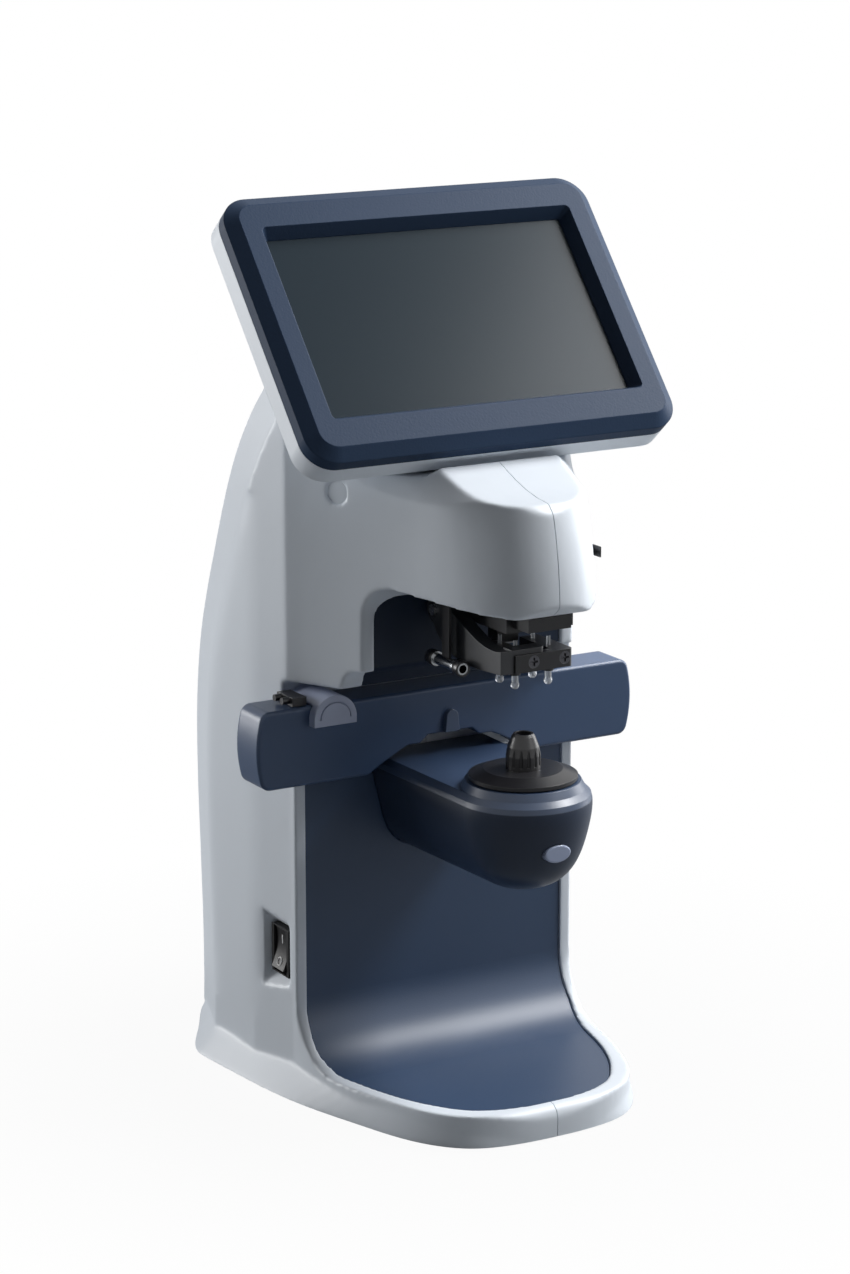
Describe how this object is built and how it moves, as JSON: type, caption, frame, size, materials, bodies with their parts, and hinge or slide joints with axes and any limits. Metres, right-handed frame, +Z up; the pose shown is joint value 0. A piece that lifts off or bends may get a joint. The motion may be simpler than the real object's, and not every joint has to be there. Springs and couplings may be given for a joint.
{
  "type": "auto lensmeter",
  "caption": "Bench auto lensmeter: C-shaped body with foot, sliding table bar, nosepiece arm, swinging lens holder and tilting touch screen.",
  "frame": {"origin": "middle of the overall box in plan, on the surface the instrument stands on", "axes": "+Z up; -Y towards the user, who faces the screen; +X to the user's right"},
  "size_m": [0.2, 0.2572, 0.4119],
  "materials": {
    "white_cover": "satin, fine texture",
    "navy_panel": "satin, fine texture",
    "blue_grey_bezel": "fine texture",
    "dark_glass": "glossy",
    "clear_glass": "polished",
    "black_plastic": "satin",
    "grey_plastic": "satin",
    "lilac_plastic": "satin",
    "clear_pin": "clear moulded",
    "bright_steel": "ground",
    "black_steel": "black oxide",
    "chrome_sleeve": "polished",
    "cast_frame": "as cast",
    "circuit_board": "solder mask",
    "bronze_bush": "machined",
    "feet_rubber": "matte",
    "base_paint": "powder coat",
    "felt_tip": "inked felt"
  },
  "bodies": {
    "stand": {"left_cover": "white_cover", "right_cover": "white_cover", "cover_plugs": "white_cover", "front_panel": "navy_panel", "arm_upper_cover": "navy_panel", "arm_lower_housing": "navy_panel", "hinge_lugs": "black_plastic", "throat_panel": "grey_plastic", "base_plate": "base_paint", "rubber_feet": "feet_rubber", "column_frame": "cast_frame", "head_frame": "cast_frame", "main_board": "circuit_board", "power_supply": "base_paint", "power_inlet": "black_plastic", "switch_housing": "black_plastic", "protective_glass": "clear_glass", "measuring_lens": "clear_glass", "sensor_board": "circuit_board", "nosepiece_disc": "black_plastic", "rod_bushes": "bronze_bush", "holder_shaft": "bright_steel", "optics_housing": "black_plastic", "collimator_lens": "clear_glass", "lamp": "grey_plastic", "marking_roller": "chrome_sleeve", "roller_hanger": "black_plastic"},
    "table": {"table_bar": "navy_panel", "table_peg": "navy_panel", "table_rods": "bright_steel"},
    "slider": {"bridge_slider": "lilac_plastic", "slider_rollers": "black_plastic"},
    "lens_holder": {"holder_arm": "grey_plastic", "holder_frame": "black_plastic", "holder_screws": "black_steel"},
    "screen": {"screen_bezel": "blue_grey_bezel", "touch_glass": "dark_glass", "display_module": "grey_plastic", "display_board": "circuit_board", "screen_back_cover": "white_cover", "hinge_pins": "bright_steel"},
    "read_button": {"read_button": "lilac_plastic"},
    "power_rocker": {"power_rocker": "black_plastic"},
    "marking_lever": {"marking_lever": "black_plastic"},
    "marking_carriage": {"marking_carriage": "black_plastic", "marking_pen": "felt_tip"},
    "nosepiece": {"nosepiece": "black_plastic"},
    "pin_1": {"holder_pin_1": "clear_pin"},
    "pin_2": {"holder_pin_2": "clear_pin"},
    "pin_3": {"holder_pin_3": "clear_pin"},
    "pin_4": {"holder_pin_4": "clear_pin"}
  },
  "joints": [
    {"name": "screen_tilt", "type": "hinge", "parent": "stand", "child": "screen", "pos_m": [0, -0.06626, 0.30649], "axis": [1, 0, 0], "range_deg": [-7, 27]},
    {"name": "table_slide", "type": "slide", "parent": "stand", "child": "table", "axis": [0, -1, 0], "range_m": [0, 0.035]},
    {"name": "slider_slide", "type": "slide", "parent": "table", "child": "slider", "axis": [1, 0, 0], "range_m": [0, 0.126]},
    {"name": "holder_swing", "type": "hinge", "parent": "stand", "child": "lens_holder", "pos_m": [0, -0.057, 0.232], "axis": [1, 0, 0], "range_deg": [0, 24]},
    {"name": "read_button_press", "type": "slide", "parent": "stand", "child": "read_button", "axis": [0, 1, 0], "range_m": [0, 0.0012], "stiffness_N_per_m": 600, "springref_m": -0.001},
    {"name": "power_rocker_tilt", "type": "hinge", "parent": "stand", "child": "power_rocker", "pos_m": [-0.07, -0.007, 0.066], "axis": [0, 1, 0], "range_deg": [-16, 0]},
    {"name": "marking_lever_turn", "type": "hinge", "parent": "stand", "child": "marking_lever", "pos_m": [0.041, -0.09, 0.2597], "axis": [1, 0, 0], "range_deg": [0, 31]},
    {"name": "marking_carriage_drop", "type": "slide", "parent": "stand", "child": "marking_carriage", "axis": [0, 0, -1], "range_m": [0, 0.006], "stiffness_N_per_m": 380, "springref_m": -0.002},
    {"name": "nosepiece_lift", "type": "slide", "parent": "stand", "child": "nosepiece", "axis": [0, 0, 1], "range_m": [0, 0.008]},
    {"name": "pin_1_press", "type": "slide", "parent": "lens_holder", "child": "pin_1", "axis": [0, 0, 1], "range_m": [0, 0.0015], "stiffness_N_per_m": 150, "springref_m": -0.001},
    {"name": "pin_2_press", "type": "slide", "parent": "lens_holder", "child": "pin_2", "axis": [0, 0, 1], "range_m": [0, 0.0015], "stiffness_N_per_m": 150, "springref_m": -0.001},
    {"name": "pin_3_press", "type": "slide", "parent": "lens_holder", "child": "pin_3", "axis": [0, 0, 1], "range_m": [0, 0.0015], "stiffness_N_per_m": 150, "springref_m": -0.001},
    {"name": "pin_4_press", "type": "slide", "parent": "lens_holder", "child": "pin_4", "axis": [0, 0, 1], "range_m": [0, 0.0015], "stiffness_N_per_m": 150, "springref_m": -0.001}
  ],
  "couplings": [
    {"joint": "marking_lever_turn", "follows": "marking_carriage_drop", "rad_per_m": 87.2}
  ]
}
